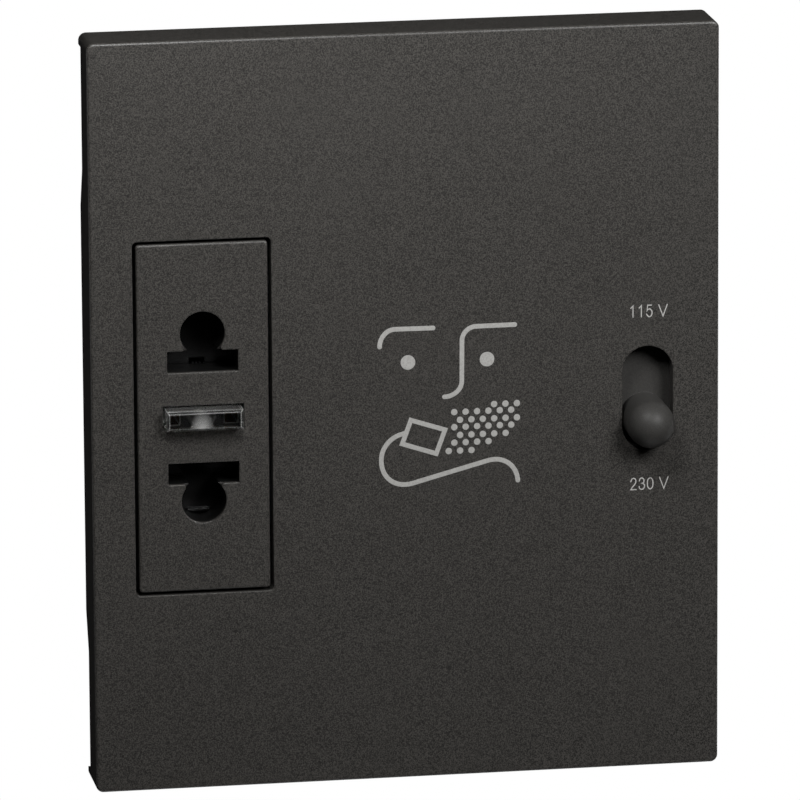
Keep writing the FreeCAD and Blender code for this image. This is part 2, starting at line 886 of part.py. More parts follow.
def tail_places():
    places = [(face_x + side * key_leg_spacing / 2, 0) for side in (-1, 1)]
    places += [(face_x, side * pin_spacing / 2) for side in (-1, 1)]
    places += [(fork_x, step * pad_pitch) for step in (-1, 0, 1)]
    places += coil_pin_places() + cutout_lead_places()
    return places


def circuit_board():
    half_x = inner_x - board_gap
    half_z = inner_z - board_gap
    board = box(-half_x, half_x, board_y, board_back_y, -half_z, half_z)
    half = screw_boss / 2 + board_gap
    for x, z in corner_places():
        board = board.cut(box(x - half, x + half, board_y - past, board_back_y + past, z - half, z + half))
    cuts = [tail_hole(x, z) for x, z in tail_places()]
    cuts += lead_holes(board_y - past, board_back_y + past)
    for side in (-1, 1):
        cuts.append(terminal_tail(side, tail_gap))
    return board.cut(cuts)


# Transformer


def core_e():
    """The E laminations: a back and three legs, stacked along Y."""
    half_x = core_width / 2
    low = -core_height / 2
    top = core_height / 2 - core_leg
    stack = box(core_x - half_x, core_x + half_x, core_front_y, core_back_y, low, top)
    for side in (-1, 1):
        x0, x1 = sorted((core_x + side * core_leg, core_x + side * (core_leg + window_width)))
        window = box(x0, x1, core_front_y - past, core_back_y + past, low + core_leg, top + past)
        stack = stack.cut(window)
    return stack


def core_i():
    half_x = core_width / 2
    top = core_height / 2
    return box(core_x - half_x, core_x + half_x, core_front_y, core_back_y, top - core_leg, top)


def sleeve(half_x, half_y, z0, z1):
    return box(core_x - half_x, core_x + half_x, core_mid_y - half_y, core_mid_y + half_y, z0, z1)


def bobbin():
    """A moulded former with a wall between its two windings."""
    reach = core_window / 2 - winding_gap / 2
    leg_x = core_leg + bobbin_fit
    leg_y = core_stack / 2 + bobbin_fit
    tube = sleeve(leg_x + bobbin_wall, leg_y + bobbin_wall, -reach, reach)
    plates = []
    low = (-reach, bobbin_flange - reach)
    middle = (-bobbin_wall / 2, bobbin_wall / 2)
    high = (reach - bobbin_flange, reach)
    for z0, z1 in (low, middle, high):
        plates.append(sleeve(coil_half_x, coil_half_y, z0, z1))
    former = tube.fuse(plates).cut(sleeve(leg_x, leg_y, -reach - past, reach + past))
    for x, z in coil_pin_places():
        former = former.cut(coil_pin(x, z))
    return former.removeSplitter()


def winding(lower):
    """A wound block of wire between two walls of the bobbin."""
    reach = core_window / 2 - winding_gap / 2 - bobbin_flange
    z0, z1 = (-reach, -bobbin_wall / 2) if lower else (bobbin_wall / 2, reach)
    wall = bobbin_fit + bobbin_wall
    inner = sleeve(core_leg + wall, core_stack / 2 + wall, z0 - past, z1 + past)
    outer = sleeve(coil_half_x - winding_inset, coil_half_y - winding_inset, z0, z1)
    corners = [e for e in outer.Edges if e.BoundBox.XLength < 1e-4 and e.BoundBox.YLength < 1e-4]
    return outer.makeFillet(winding_corner_radius, corners).cut(inner)


def coil_pin(x, z):
    return tail(x, z, board_y - tail_past_board, coil_front_y + coil_pin_reach)


def coil_pins():
    return Part.makeCompound([coil_pin(x, z) for x, z in coil_pin_places()])


def core_clamp():
    """A steel strap over the I side of the core, with lips over the front and back of the stack."""
    half_x = core_width / 2
    top = core_height / 2
    s = clamp_sheet
    y0 = core_front_y - s
    y1 = core_back_y + s
    outer = box(core_x - half_x - s, core_x + half_x + s, y0, y1, -top, top + s)
    core = box(core_x - half_x, core_x + half_x, core_front_y, core_back_y, -top - past, top)
    inside = half_x - clamp_lip
    between = box(core_x - inside, core_x + inside, y0 - past, y1 + past, -top - past, top - clamp_lip)
    return outer.cut([core, between])


# Thermal cut-out


def thermal_cutout():
    """A round resettable protector that stands on the board beside the coil."""
    y = board_back_y + cutout_stand + cutout_diameter / 2
    half = cutout_thickness / 2
    start = V(cutout_x, y, cutout_z - half)
    disc = Part.makeCylinder(cutout_diameter / 2, cutout_thickness, start, V(0, 0, 1))
    leads = [tail(x, z, board_y - tail_past_board, y) for x, z in cutout_lead_places()]
    return disc.fuse(leads).removeSplitter()


# Terminals


def terminal_z(side):
    return side * terminal_pitch / 2


def terminal_tail(side, grow):
    x0 = terminal_left - grow
    x1 = terminal_left + terminal_sheet + grow
    half = tail_width / 2 + grow
    z = terminal_z(side)
    return box(x0, x1, board_y - grow, terminal_front_y + join, z - half, z + half)


def terminal(side):
    """A brass cage for one wire, with its strip to the board."""
    z = terminal_z(side)
    half = terminal_height / 2
    cage = box(terminal_left, terminal_right, terminal_front_y, terminal_back_y, z - half, z + half)
    mouth_x = terminal_mouth / 2
    mouth_z = half - terminal_sheet
    mouth = box(
        terminal_x - mouth_x, terminal_x + mouth_x, terminal_front_y - past, terminal_back_y + past,
        z - mouth_z, z + mouth_z,
    )
    thread = rod_x(terminal_x, terminal_right + past, clamp_screw_y, z, clamp_screw_diameter / 2)
    return cage.cut([mouth, thread]).fuse(terminal_tail(side, 0)).removeSplitter()


def clamp_screw(side):
    z = terminal_z(side)
    head_x = terminal_right + clamp_head_gap
    end_x = head_x + clamp_screw_head_height
    radius = clamp_screw_diameter / 2 - clamp_thread_gap
    shank = rod_x(terminal_x + clamp_screw_reach, head_x + join, clamp_screw_y, z, radius)
    head = rod_x(head_x, end_x, clamp_screw_y, z, clamp_screw_head / 2)
    half = clamp_slot_width / 2
    slot = box(
        end_x - clamp_slot_depth, end_x + past, clamp_screw_y - half, clamp_screw_y + half,
        z - clamp_screw_head, z + clamp_screw_head,
    )
    return shank.fuse(head).cut(slot).removeSplitter()


def terminal_screws():
    return Part.makeCompound([clamp_screw(side) for side in (-1, 1)])


# Rear housing and its screws


def terminal_ribs():
    """Walls from the rear wall that keep the two terminals apart and in place."""
    y0 = terminal_front_y
    y1 = rear_inner_y + join
    left = terminal_cell_left + terminal_rib
    reach = terminal_pitch / 2 + terminal_height / 2 + terminal_gap
    end = reach + terminal_rib
    half = terminal_rib / 2
    ribs = [box(left - terminal_rib, left, y0, y1, -end, end)]
    for z in (-reach - half, 0, reach + half):
        ribs.append(box(left - join, inner_x + join, y0, y1, z - half, z + half))
    return ribs


def core_posts():
    """Posts on the rear wall that the back of the core rests on."""
    posts = []
    for side in (-1, 1):
        half = core_post / 2
        x = core_x + side * (core_width / 2 - clamp_lip - half - post_to_clamp)
        z = core_height / 2 - clamp_lip - half - post_to_clamp
        post = box(x - half, x + half, core_back_y, rear_inner_y + join, z - half, z + half)
        posts += both_sides(post)
    return posts


def rear_housing():
    half_x = body_width / 2
    half_z = body_height / 2
    shell = rounded_block(-half_x, half_x, -half_z, half_z, board_y, rear_y, body_corner_radius)
    rim = edges_at_y(shell, rear_y, (-half_x, half_x, -half_z, half_z))
    shell = shell.makeFillet(rear_edge_radius, rim)
    shell = shell.cut(box(-inner_x, inner_x, board_y - past, rear_inner_y, -inner_z, inner_z))
    solids = screw_bosses(board_y, board_y + screw_grip)
    solids += wall_ribs(board_back_y, board_back_y + rear_rib_length)
    shell = shell.fuse(solids + terminal_ribs() + core_posts())
    thread_end = board_y + screw_grip - boss_end
    cuts = [rod_y(x, z, board_y - past, thread_end, screw_diameter / 2) for x, z in corner_places()]
    for side in (-1, 1):
        z = terminal_z(side)
        cuts.append(rod_y(terminal_x, z, rear_inner_y - past, rear_y + past, wire_hole_diameter / 2))
        cuts.append(rod_x(inner_x - past, half_x + past, clamp_screw_y, z, clamp_screw_access / 2))
    return shell.cut(cuts).removeSplitter()


def housing_screw(x, z):
    head_y = flange_front_y + screw_sink
    seat_y = head_y + screw_head_height
    head = rod_y(x, z, head_y, seat_y, screw_head_diameter / 2)
    shank = rod_y(x, z, seat_y - join, head_y + screw_length, screw_diameter / 2)
    long = screw_cross_length / 2
    half = screw_cross_width / 2
    cross_y = head_y + screw_cross_depth
    cross = [
        box(x - long, x + long, head_y - past, cross_y, z - half, z + half),
        box(x - half, x + half, head_y - past, cross_y, z - long, z + long),
    ]
    return head.fuse(shank).cut(cross).removeSplitter()


def housing_screws():
    return Part.makeCompound([housing_screw(x, z) for x, z in corner_places()])


nodes = {
    "front_cover": front_cover(),
    "socket_face": socket_face(),
    "plug_key": plug_key(),
    "key_bridge": key_bridge(),
    "line_post": switch_post(-1),
    "feed_post": switch_post(1),
    "pilot_lamp": pilot_lamp(),
    "lamp_spacer": lamp_spacer(),
    "key_spring": key_spring(),
    "upper_shutter": upper_shutter(),
    "lower_shutter": mirrored(upper_shutter()),
    "upper_shutter_spring": upper_shutter_spring(),
    "lower_shutter_spring": mirrored(upper_shutter_spring()),
    "upper_contact": upper_contact(),
    "lower_contact": mirrored(upper_contact()),
    "selector_knob": selector_knob(),
    "switch_slider": switch_slider(),
    "switch_bridge": switch_bridge(),
    "switch_can": switch_can(),
    "switch_base": switch_base(),
    "contact_230": switch_contact(-1),
    "contact_common": switch_contact(0),
    "contact_115": switch_contact(1),
    "front_housing": front_housing(),
    "circuit_board": circuit_board(),
    "core_e": core_e(),
    "core_i": core_i(),
    "bobbin": bobbin(),
    "primary_winding": winding(True),
    "secondary_winding": winding(False),
    "coil_pins": coil_pins(),
    "core_clamp": core_clamp(),
    "thermal_cutout": thermal_cutout(),
    "line_terminal": terminal(1),
    "neutral_terminal": terminal(-1),
    "terminal_screws": terminal_screws(),
    "rear_housing": rear_housing(),
    "housing_screws": housing_screws(),
}

os.makedirs("parts", exist_ok=True)
for name, shape in nodes.items():
    shape.exportStep("parts/" + name + ".step")
    print(name, shape.isValid(), len(shape.Solids), round(shape.Volume, 1))
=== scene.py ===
import math

import bmesh
import bpy
from bpy.props import FloatProperty, FloatVectorProperty, IntProperty, PointerProperty
from mathutils import Matrix, Quaternion, Vector


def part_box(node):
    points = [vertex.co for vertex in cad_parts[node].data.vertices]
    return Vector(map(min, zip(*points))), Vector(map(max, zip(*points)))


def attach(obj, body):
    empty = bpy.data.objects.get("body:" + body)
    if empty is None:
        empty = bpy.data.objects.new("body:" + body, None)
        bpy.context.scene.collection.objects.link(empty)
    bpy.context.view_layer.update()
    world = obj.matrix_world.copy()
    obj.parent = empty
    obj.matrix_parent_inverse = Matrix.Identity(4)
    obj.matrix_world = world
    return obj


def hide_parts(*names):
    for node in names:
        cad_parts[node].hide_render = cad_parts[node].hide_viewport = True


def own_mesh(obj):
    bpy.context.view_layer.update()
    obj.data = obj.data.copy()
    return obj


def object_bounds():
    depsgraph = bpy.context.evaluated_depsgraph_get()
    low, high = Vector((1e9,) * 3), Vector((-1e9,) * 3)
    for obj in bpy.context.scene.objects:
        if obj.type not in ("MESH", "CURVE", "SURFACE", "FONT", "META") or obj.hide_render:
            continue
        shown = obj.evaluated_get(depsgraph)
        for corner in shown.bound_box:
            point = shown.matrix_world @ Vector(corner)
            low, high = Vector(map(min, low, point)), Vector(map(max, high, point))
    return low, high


bl_info = {
    "name": "Shaver Socket",
    "version": (1, 0, 0),
    "blender": (4, 5, 0),
    "location": "3D View > Sidebar > Shaver Socket",
    "description": "Dresses the packed shaver socket with its print, its letters and its materials",
    "category": "Object",
}

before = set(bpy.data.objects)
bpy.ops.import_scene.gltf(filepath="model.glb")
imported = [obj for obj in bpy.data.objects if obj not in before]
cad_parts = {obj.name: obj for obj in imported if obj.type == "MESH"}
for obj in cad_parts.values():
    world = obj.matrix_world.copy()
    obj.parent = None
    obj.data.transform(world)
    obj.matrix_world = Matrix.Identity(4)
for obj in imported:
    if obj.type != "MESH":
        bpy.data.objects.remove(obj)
CAD_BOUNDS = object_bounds()
MM = 0.001
COVER_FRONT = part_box("front_cover")[0].y
SIDE_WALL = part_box("rear_housing")[1].x

# The camera, fitted to the corners of the plate in the photo
CAMERA_PLACE = (-0.1541, -0.9333, 0.2226)
CAMERA_TURN = math.radians(9.4)
CAMERA_DROP = math.radians(13.28)
CAMERA_ROLL = math.radians(-0.34)
FOCAL_PIXELS = 9122
PICTURE_PIXELS = 800
SENSOR_WIDTH = 36

# How far from the camera's direction the backdrop starts to fade and ends
BACKDROP_INNER = math.radians(4)
BACKDROP_OUTER = math.radians(6)
FLOOR_SIDES = 96

# A line's edge gets longer at a corner by 1 over the corner's cosine. This is the least cosine used.
LEAST_COSINE = 0.4
# A cubic curve follows a quarter circle when its handles reach this share of the way to the corner
QUARTER_PULL = 0.5523


# Colours and shader nodes


def srgb(code):
    """An sRGB hex colour as the linear RGBA that shaders take."""
    out = []
    for i in (1, 3, 5):
        c = int(code[i:i + 2], 16) / 255
        out.append(c / 12.92 if c <= 0.04045 else ((c + 0.055) / 1.055) ** 2.4)
    return (*out, 1.0)


WHITE = srgb("#ffffff")
HOUSING_FLECK = srgb("#434346")
SPRING_STEEL = (srgb("#808184"), srgb("#a3a4a6"))


def add(tree, kind, settings=None, values=None, links=None):
    """Adds a node, sets its options and input values, and links its inputs to other outputs."""
    node = tree.nodes.new(kind)
    for key, value in (settings or {}).items():
        setattr(node, key, value)
    for key, value in (values or {}).items():
        node.inputs[key].default_value = value
    for key, source in (links or {}).items():
        tree.links.new(source, node.inputs[key])
    return node


def start_material(name):
    """A node material with only its output, and the surface's coordinates in metres."""
    material = bpy.data.materials.new(name)
    material.use_nodes = True
    tree = material.node_tree
    tree.nodes.clear()
    add(tree, "ShaderNodeOutputMaterial")
    place = add(tree, "ShaderNodeTexCoord").outputs["Object"]
    return material, tree, place


def end_material(tree, shader):
    """Joins the surface's shader to the material's output."""
    tree.links.new(shader.outputs["BSDF"], tree.nodes["Material Output"].inputs["Surface"])


def soft_bump(tree, height, edge, strength, depth):
    """The surface's direction, with its edges a little round and lifted by a pattern."""
    soft_edge = add(tree, "ShaderNodeBevel", {"samples": 4}, {"Radius": edge}).outputs["Normal"]
    return add(tree, "ShaderNodeBump", values={"Strength": strength, "Distance": depth},
               links={"Height": height, "Normal": soft_edge}).outputs["Normal"]


def two_tones(tree, pattern, dark, light, low, high):
    """A colour that goes from dark to light while the pattern goes from low to high."""
    share = add(tree, "ShaderNodeMapRange", values={"From Min": low, "From Max": high},
                links={"Value": pattern}).outputs["Result"]
    return add(tree, "ShaderNodeMix", {"data_type": "RGBA"}, {"A": dark, "B": light},
               {"Factor": share}).outputs["Result"]


def grained_plastic(name, dark, light, grain, depth, roughness, specular=0.5, edge=0.12 * MM,
                    painted_shade_from=None):
    """Thermoplastic moulded against a spark-eroded tool.

    The grain scatters the light, so the surface looks evenly matt with a faint fleck,
    and its edges are a little round and catch a thin highlight. Where a depth is given,
    the walls behind it are painted near black, as painted shade in the holes.
    """
    cloud_width = 15 * MM
    painted_shade_fade = 0.3 * MM
    material, tree, place = start_material(name)
    noise = add(tree, "ShaderNodeTexNoise",
                values={"Scale": 1 / grain, "Detail": 4.0, "Roughness": 0.65},
                links={"Vector": place}).outputs["Fac"]
    cloud = add(tree, "ShaderNodeTexNoise", values={"Scale": 1 / cloud_width, "Detail": 2.0},
                links={"Vector": place}).outputs["Fac"]
    rough = add(tree, "ShaderNodeMapRange",
                values={"To Min": roughness - 0.04, "To Max": roughness + 0.04},
                links={"Value": cloud}).outputs["Result"]
    bump = soft_bump(tree, noise, edge, strength=1.0, depth=depth)
    colour = two_tones(tree, noise, dark, light, low=0.4, high=0.6)
    # Painted shade: deeper than the given depth, the walls fade to near black
    if painted_shade_from is not None:
        along = add(tree, "ShaderNodeSeparateXYZ", links={"Vector": place}).outputs["Y"]
        painted_shade_share = add(tree, "ShaderNodeMapRange",
                     values={"From Min": painted_shade_from, "From Max": painted_shade_from + painted_shade_fade},
                     links={"Value": along}).outputs["Result"]
        colour = add(tree, "ShaderNodeMix", {"data_type": "RGBA"}, {"B": srgb("#0b0b0b")},
                     {"Factor": painted_shade_share, "A": colour}).outputs["Result"]
    end_material(tree, add(
        tree, "ShaderNodeBsdfPrincipled", values={"IOR": 1.5, "Specular IOR Level": specular},
        links={"Base Color": colour, "Roughness": rough, "Normal": bump},
    ))
    return material


def smooth_plastic(name, dark, light, roughness, ior=1.5, edge=0.1 * MM):
    """Plastic moulded against a polished tool, with the slight flow marks of such parts."""
    flow_width = 4 * MM
    material, tree, place = start_material(name)
    flow = add(tree, "ShaderNodeTexNoise",
               values={"Scale": 1 / flow_width, "Detail": 3.0, "Distortion": 0.6},
               links={"Vector": place}).outputs["Fac"]
    rough = add(tree, "ShaderNodeMapRange",
                values={"To Min": roughness - 0.06, "To Max": roughness + 0.06},
                links={"Value": flow}).outputs["Result"]
    bump = soft_bump(tree, flow, edge, strength=0.4, depth=0.02 * MM)
    colour = two_tones(tree, flow, dark, light, low=0.3, high=0.7)
    end_material(tree, add(
        tree, "ShaderNodeBsdfPrincipled", values={"IOR": ior},
        links={"Base Color": colour, "Roughness": rough, "Normal": bump},
    ))
    return material


def clear_plastic(name, tint, ior, roughness, edge=0.1 * MM, painted_highlight_at=None):
    """Clear plastic or glass. It shows what is behind it.

    Where a place is given, a milky spot round it and milky edges are painted highlights.
    """
    wave_width = 1.6 * MM
    patch_squeeze = (1.05, 0.3, 0.6)
    patch_core = 0.15 * MM
    patch_reach = 1.4 * MM
    material, tree, place = start_material(name)
    wave = add(tree, "ShaderNodeTexNoise", values={"Scale": 1 / wave_width, "Detail": 1.0},
               links={"Vector": place}).outputs["Fac"]
    soft_edge = add(tree, "ShaderNodeBevel", {"samples": 4}, {"Radius": edge}).outputs["Normal"]
    bump = add(tree, "ShaderNodeBump", values={"Strength": 0.5, "Distance": 0.02 * MM},
               links={"Height": wave, "Normal": soft_edge}).outputs["Normal"]
    shader = add(
        tree, "ShaderNodeBsdfPrincipled",
        values={"Base Color": tint, "IOR": ior, "Roughness": roughness,
                "Transmission Weight": 1.0},
        links={"Normal": bump},
    )
    if painted_highlight_at is not None:
        # Painted highlight: a milky spot round the given place, so it looks bright
        away = add(tree, "ShaderNodeVectorMath", {"operation": "SUBTRACT"}, {1: painted_highlight_at},
                   {0: place}).outputs["Vector"]
        flat = add(tree, "ShaderNodeVectorMath", {"operation": "MULTIPLY"}, {1: patch_squeeze},
                   {0: away}).outputs["Vector"]
        reach = add(tree, "ShaderNodeVectorMath", {"operation": "LENGTH"},
                    links={0: flat}).outputs["Value"]
        clear = add(tree, "ShaderNodeMapRange",
                    values={"From Min": patch_core, "From Max": patch_reach,
                            "To Min": 0.6, "To Max": 1.0},
                    links={"Value": reach}).outputs["Result"]
        # Painted highlight: the edges are made milky, so they look bright
        flat_way = add(tree, "ShaderNodeNewGeometry").outputs["True Normal"]
        same = add(tree, "ShaderNodeVectorMath", {"operation": "DOT_PRODUCT"},
                   links={0: soft_edge, 1: flat_way}).outputs["Value"]
        middle = add(tree, "ShaderNodeMapRange",
                     values={"From Min": 0.8, "From Max": 0.98, "To Min": 0.1, "To Max": 1.0},
                     links={"Value": same}).outputs["Result"]
        # The faces that do not look to the front are a little milky.
        front = add(tree, "ShaderNodeVectorMath", {"operation": "DOT_PRODUCT"},
                    {1: (0, -1, 0)}, {0: flat_way}).outputs["Value"]
        front_clearness = add(tree, "ShaderNodeMapRange",
                     values={"From Min": 0.3, "From Max": 0.9, "To Min": 0.95, "To Max": 1.0},
                     links={"Value": front}).outputs["Result"]
        weight = add(tree, "ShaderNodeMath", {"operation": "MULTIPLY"},
                     links={0: clear, 1: middle}).outputs["Value"]
        weight = add(tree, "ShaderNodeMath", {"operation": "MULTIPLY"},
                     links={0: weight, 1: front_clearness}).outputs["Value"]
        tree.links.new(weight, shader.inputs["Transmission Weight"])
    end_material(tree, shader)
    return material


def rolled_metal(name, dark, light, line, roughness, along):
    """Rolled or drawn metal. Fine lines run along one axis and draw its gloss out."""
    material, tree, place = start_material(name)
    stretch = [1.0, 1.0, 1.0]
    stretch[along] = 0.04
    mapped = add(tree, "ShaderNodeMapping", values={"Scale": stretch},
                 links={"Vector": place}).outputs["Vector"]
    lines = add(tree, "ShaderNodeTexNoise", values={"Scale": 1 / line, "Detail": 3.0},
                links={"Vector": mapped}).outputs["Fac"]
    rough = add(tree, "ShaderNodeMapRange",
                values={"To Min": roughness - 0.08, "To Max": roughness + 0.1},
                links={"Value": lines}).outputs["Result"]
    bump = soft_bump(tree, lines, 0.06 * MM, strength=0.5, depth=0.01 * MM)
    colour = two_tones(tree, lines, dark, light, low=0.3, high=0.7)
    end_material(tree, add(
        tree, "ShaderNodeBsdfPrincipled", values={"Metallic": 1.0},
        links={"Base Color": colour, "Roughness": rough, "Normal": bump},
    ))
    return material


def layered(name, dark, light, pitch, axis, metallic, roughness, depth):
    """Stacked sheets or turns of wire or tape, drawn as bands across one axis."""
    wear_width = 1.5 * MM
    material, tree, place = start_material(name)
    bands = add(tree, "ShaderNodeTexWave", {"bands_direction": axis, "wave_profile": "SIN"},
                {"Scale": 1 / (pitch * math.pi), "Distortion": 0.0},
                {"Vector": place}).outputs["Fac"]
    wear = add(tree, "ShaderNodeTexNoise", values={"Scale": 1 / wear_width, "Detail": 4.0},
               links={"Vector": place}).outputs["Fac"]
    rough = add(tree, "ShaderNodeMapRange",
                values={"To Min": roughness - 0.1, "To Max": roughness + 0.1},
                links={"Value": wear}).outputs["Result"]
    bump = add(tree, "ShaderNodeBump", values={"Strength": 1.0, "Distance": depth},
               links={"Height": bands}).outputs["Normal"]
    colour = two_tones(tree, bands, dark, light, low=0.1, high=0.6)
    end_material(tree, add(
        tree, "ShaderNodeBsdfPrincipled", values={"Metallic": metallic},
        links={"Base Color": colour, "Roughness": rough, "Normal": bump},
    ))
    return material


def woven_laminate(name, dark, light, thread, roughness):
    """Glass cloth in epoxy. The weave shows faintly through the resin."""
    material, tree, place = start_material(name)
    warp, weft = (
        add(tree, "ShaderNodeTexWave", {"bands_direction": axis},
            {"Scale": 1 / (thread * math.pi)}, {"Vector": place}).outputs["Fac"]
        for axis in ("X", "Z")
    )
    cloth = add(tree, "ShaderNodeMath", {"operation": "MULTIPLY"},
                links={0: warp, 1: weft}).outputs["Value"]
    bump = add(tree, "ShaderNodeBump", values={"Strength": 0.4, "Distance": 0.02 * MM},
               links={"Height": cloth}).outputs["Normal"]
    colour = add(tree, "ShaderNodeMix", {"data_type": "RGBA"}, {"A": dark, "B": light},
                 {"Factor": cloth}).outputs["Result"]
    end_material(tree, add(
        tree, "ShaderNodeBsdfPrincipled", values={"IOR": 1.55, "Roughness": roughness},
        links={"Base Color": colour, "Normal": bump},
    ))
    return material


def shown_rays(tree, gloss_share=None):
    """1 for the rays that show a background: to the eye, in gloss and through clear parts.

    Where gloss_share is given, gloss and clear parts show only that share of it.
    """
    path = add(tree, "ShaderNodeLightPath").outputs
    gloss = add(tree, "ShaderNodeMath", {"operation": "MAXIMUM"},
                links={0: path["Is Glossy Ray"],
                       1: path["Is Transmission Ray"]}).outputs["Value"]
    if gloss_share is not None:
        gloss = add(tree, "ShaderNodeMath", {"operation": "MULTIPLY"},
                    links={0: gloss, 1: gloss_share}).outputs["Value"]
    return add(tree, "ShaderNodeMath", {"operation": "MAXIMUM"},
               links={0: path["Is Camera Ray"], 1: gloss}).outputs["Value"]


def dress(material, *names):
    """Gives CAD nodes a material in place of their plain one."""
    for name in names:
        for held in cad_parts[name].material_slots:
            held.material = material


# Lines drawn on a flat wall. Their points are x to the right and z up.


def millimetres(*points):
    """Points that are given in millimetres, in metres."""
    return [(x * MM, z * MM) for x, z in points]


def curve(a, corner, b, steps=14):
    """A quarter turn from a to b that leaves and arrives along the sides of the corner."""
    pulled_a = [a[j] + QUARTER_PULL * (corner[j] - a[j]) for j in (0, 1)]
    pulled_b = [b[j] + QUARTER_PULL * (corner[j] - b[j]) for j in (0, 1)]
    points = []
    for i in range(steps + 1):
        t = i / steps
        weights = ((1 - t) ** 3, 3 * t * (1 - t) ** 2, 3 * t * t * (1 - t), t ** 3)
        parts = list(zip(weights, (a, pulled_a, pulled_b, b)))
        points.append((sum(w * p[0] for w, p in parts), sum(w * p[1] for w, p in parts)))
    return points


def through(points, steps=8):
    """A smooth line through all of the points."""
    ends = [points[0], *points, points[-1]]
    out = []
    for i in range(1, len(ends) - 2):
        p0, p1, p2, p3 = ends[i - 1:i + 3]
        for s in range(steps):
            t = s / steps
            out.append(tuple(
                0.5 * (2 * p1[j] + (p2[j] - p0[j]) * t
                       + (2 * p0[j] - 5 * p1[j] + 4 * p2[j] - p3[j]) * t * t
                       + (3 * p1[j] - p0[j] - 3 * p2[j] + p3[j]) * t ** 3)
                for j in (0, 1)
            ))
    return out + [points[-1]]


def circle(centre, radius, sides):
    """Points all round a circle."""
    angles = [2 * math.pi * i / sides for i in range(sides)]
    return [(centre[0] + radius * math.cos(a), centre[1] + radius * math.sin(a))
            for a in angles]


def across(points, i, closed):
    """The direction across the line at a point, long enough to keep its width at a corner."""
    n = len(points)
    here = Vector(points[i])
    before = here - Vector(points[i - 1]) if closed or i > 0 else Vector(points[1]) - here
    after = Vector(points[(i + 1) % n]) - here if closed or i < n - 1 else before
    before.normalize()
    after.normalize()
    along = (before + after).normalized()
    return Vector((-along.y, along.x)) / max(LEAST_COSINE, along.dot(before))


def layer_of(mesh, rim, strip, front, back):
    """Closes a thin layer between two depths.

    Strip lists the faces of one side as indices into the rim.
    """
    near = [mesh.verts.new((p[0], front, p[1])) for p in rim]
    far = [mesh.verts.new((p[0], back, p[1])) for p in rim]
    for face in strip:
        mesh.faces.new([near[i] for i in face])
        mesh.faces.new([far[i] for i in reversed(face)])
    for i in range(len(rim)):
        j = (i + 1) % len(rim)
        mesh.faces.new((near[j], near[i], far[i], far[j]))


def round_end(centre, start, turns=9):
    """Points of a half circle about the centre, from one side of a line to the other."""
    x, z = start
    out = []
    for i in range(1, turns):
        a = -math.pi * i / turns
        out.append((centre[0] + x * math.cos(a) - z * math.sin(a),
                    centre[1] + x * math.sin(a) + z * math.cos(a)))
    return out


def stroke(mesh, points, width, front, back):
    """Adds a line with round ends, as one thin layer."""
    count = len(points)
    sides = [across(points, i, False) * (width / 2) for i in range(count)]
    left = [(p[0] + a.x, p[1] + a.y) for p, a in zip(points, sides)]
    right = [(p[0] - a.x, p[1] - a.y) for p, a in zip(points, sides)]
    last_cap = round_end(points[-1], sides[-1])
    first_cap = round_end(points[0], -sides[0])
    rim = left + last_cap + right[::-1] + first_cap
    other = count + len(last_cap)
    end = other + count - 1
    strip = [[i, i + 1, end - 1 - i, end - i] for i in range(count - 1)]
    strip.append(list(range(count - 1, other + 1)))
    strip.append([*range(end, len(rim)), 0])
    layer_of(mesh, rim, strip, front, back)


def ring(mesh, points, width, front, back):
    """Adds a closed line with sharp corners, as one thin layer."""
    count = len(points)
    sides = [across(points, i, True) * (width / 2) for i in range(count)]
    rows = []
    for depth in (front, back):
        for sign in (1, -1):
            rows.append([mesh.verts.new((p[0] + sign * a.x, depth, p[1] + sign * a.y))
                         for p, a in zip(points, sides)])
    for one, two in ((0, 1), (1, 3), (3, 2), (2, 0)):
        for i in range(count):
            j = (i + 1) % count
            mesh.faces.new((rows[one][i], rows[one][j], rows[two][j], rows[two][i]))


def disc(mesh, centre, radius, front, back, sides):
    """Adds a round dot as one thin layer."""
    layer_of(mesh, circle(centre, radius, sides), [list(range(sides))], front, back)


def new_object(name, data):
    """Adds an object to the scene."""
    thing = bpy.data.objects.new(name, data)
    bpy.context.scene.collection.objects.link(thing)
    return thing


def mesh_data(name, mesh):
    """Turns a bmesh into mesh data."""
    data = bpy.data.meshes.new(name)
    mesh.to_mesh(data)
    mesh.free()
    return data


def finish_mesh(name, mesh, material, body):
    """Turns a bmesh into a piece that rides on a body and takes its finish from a slot."""
    bmesh.ops.recalc_face_normals(mesh, faces=mesh.faces)
    data = mesh_data(name, mesh)
    data.materials.append(material)
    piece = new_object(name, data)
    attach(piece, body)
    return piece


# Settings


class SocketShell(bpy.types.PropertyGroup):
    plastic: FloatVectorProperty(
        name="Plastic", description="Main tone of the cover and the socket face",
        size=4, subtype="COLOR", min=0, max=1, default=srgb("#201f1e"))
    fleck: FloatVectorProperty(
        name="Fleck", description="Lighter tone of the grain",
        size=4, subtype="COLOR", min=0, max=1, default=srgb("#4c4a47"))
    grain: FloatProperty(
        name="Grain", description="Width of the moulded grain",
        unit="LENGTH", min=0.05 * MM, max=1 * MM, default=0.12 * MM)
    knob: FloatVectorProperty(
        name="Knob", description="Tone of the selector",
        size=4, subtype="COLOR", min=0, max=1, default=srgb("#333231"))
    housing: FloatVectorProperty(
        name="Housing", description="Tone of the body behind the cover",
        size=4, subtype="COLOR", min=0, max=1, default=srgb("#353537"))


